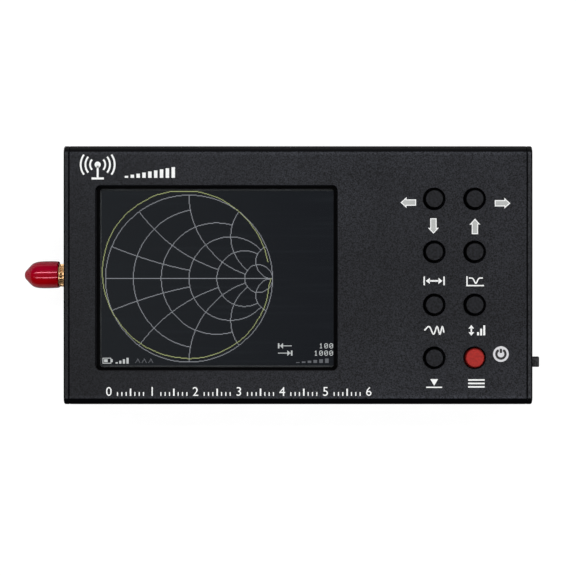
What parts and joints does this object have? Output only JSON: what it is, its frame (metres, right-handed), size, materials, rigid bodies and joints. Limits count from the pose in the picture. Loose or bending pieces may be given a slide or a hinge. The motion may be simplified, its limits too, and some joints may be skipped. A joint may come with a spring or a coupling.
{
  "type": "handheld vector network analyzer",
  "caption": "Flat rectangular handheld vector network analyzer with a window display, round keys, a coaxial port under a push-on cap and a side power switch.",
  "frame": {"origin": "centre of the flat rear face of the case, between the outer faces of the two end plates", "axes": "+X along the case's length from the coaxial port's end to the power switch's end, +Y across the width towards the end of the key columns with the two arrow keys, +Z out of the display face"},
  "size_m": [0.1455, 0.0718, 0.0252],
  "materials": {
    "black_anodised": "sandblasted black anodised, satin",
    "black_steel": "black oxide",
    "black_rubber": "matte",
    "panel_glass": "clear, glossy",
    "diffuser_white": "matte white",
    "polyimide": "amber film, semi-gloss",
    "steel_sheet": "bright tinned steel",
    "white_foam": "matte foam",
    "connector_plastic": "natural nylon, matte",
    "green_laminate": "solder mask, semi-gloss",
    "black_moulding": "matte",
    "tinned_copper": "tin plate",
    "ceramic_tan": "ceramic, matte",
    "gold_plate": "gold plate, polished",
    "ptfe": "matte",
    "red_vinyl": "soft vinyl, glossy",
    "clear_lens": "clear",
    "pouch_foil": "laminate foil, satin",
    "red_insulation": "gloss",
    "black_insulation": "gloss",
    "black_key": "satin",
    "red_key": "satin",
    "white_moulding": "matte"
  },
  "bodies": {
    "case": {"front_shell": "black_anodised", "rear_shell": "black_anodised", "left_end_plate": "black_anodised", "right_end_plate": "black_anodised", "left_end_screws": "black_steel", "right_end_screws": "black_steel", "window_gasket": "black_rubber", "touch_panel": "panel_glass", "lcd_glass": "panel_glass", "lcd_backlight": "diffuser_white", "touch_flex": "polyimide", "lcd_flex": "polyimide", "lcd_bezel": "steel_sheet", "rf_shield_fence": "steel_sheet", "rf_shield_lid": "steel_sheet", "tact_covers": "steel_sheet", "tact_domes": "steel_sheet", "slide_switch_shell": "steel_sheet", "usb_shell": "steel_sheet", "reference_oscillator": "steel_sheet", "lcd_foam_tape": "white_foam", "battery_pads": "white_foam", "flex_connectors": "connector_plastic", "battery_socket": "connector_plastic", "battery_plug": "connector_plastic", "main_board": "green_laminate", "battery_protection_board": "green_laminate", "tact_bases": "black_moulding", "rf_chips": "black_moulding", "microcontroller": "black_moulding", "slide_switch_base": "black_moulding", "usb_tongue": "black_moulding", "power_inductor": "black_moulding", "microcontroller_leads": "tinned_copper", "board_passives": "ceramic_tan", "sma_jack": "gold_plate", "sma_center_contact": "gold_plate", "sma_insulator": "ptfe", "charge_led": "clear_lens", "battery_cell": "pouch_foil", "battery_lead_red": "red_insulation", "battery_lead_black": "black_insulation"},
    "key_left_down": {"key_left_down": "black_key", "plunger_left_down": "white_moulding"},
    "key_right_up": {"key_right_up": "black_key", "plunger_right_up": "white_moulding"},
    "key_span": {"key_span": "black_key", "plunger_span": "white_moulding"},
    "key_plot": {"key_plot": "black_key", "plunger_plot": "white_moulding"},
    "key_frequency": {"key_frequency": "black_key", "plunger_frequency": "white_moulding"},
    "key_amplitude": {"key_amplitude": "black_key", "plunger_amplitude": "white_moulding"},
    "key_marker": {"key_marker": "black_key", "plunger_marker": "white_moulding"},
    "key_menu_power": {"key_menu_power": "red_key", "plunger_menu_power": "white_moulding"},
    "power_switch": {"power_switch_knob": "black_moulding"},
    "dust_cap": {"dust_cap": "red_vinyl"}
  },
  "joints": [
    {"name": "press_left_down", "type": "slide", "parent": "case", "child": "key_left_down", "axis": [0, 0, -1], "range_m": [0, 0.0003]},
    {"name": "press_right_up", "type": "slide", "parent": "case", "child": "key_right_up", "axis": [0, 0, -1], "range_m": [0, 0.0003]},
    {"name": "press_span", "type": "slide", "parent": "case", "child": "key_span", "axis": [0, 0, -1], "range_m": [0, 0.0003]},
    {"name": "press_plot", "type": "slide", "parent": "case", "child": "key_plot", "axis": [0, 0, -1], "range_m": [0, 0.0003]},
    {"name": "press_frequency", "type": "slide", "parent": "case", "child": "key_frequency", "axis": [0, 0, -1], "range_m": [0, 0.0003]},
    {"name": "press_amplitude", "type": "slide", "parent": "case", "child": "key_amplitude", "axis": [0, 0, -1], "range_m": [0, 0.0003]},
    {"name": "press_marker", "type": "slide", "parent": "case", "child": "key_marker", "axis": [0, 0, -1], "range_m": [0, 0.0003]},
    {"name": "press_menu_power", "type": "slide", "parent": "case", "child": "key_menu_power", "axis": [0, 0, -1], "range_m": [0, 0.0003]},
    {"name": "power_switch_slide", "type": "slide", "parent": "case", "child": "power_switch", "axis": [0, 1, 0], "range_m": [0, 0.002]},
    {"name": "dust_cap_slide", "type": "slide", "parent": "case", "child": "dust_cap", "axis": [-1, 0, 0], "range_m": [0, 0.03]}
  ]
}
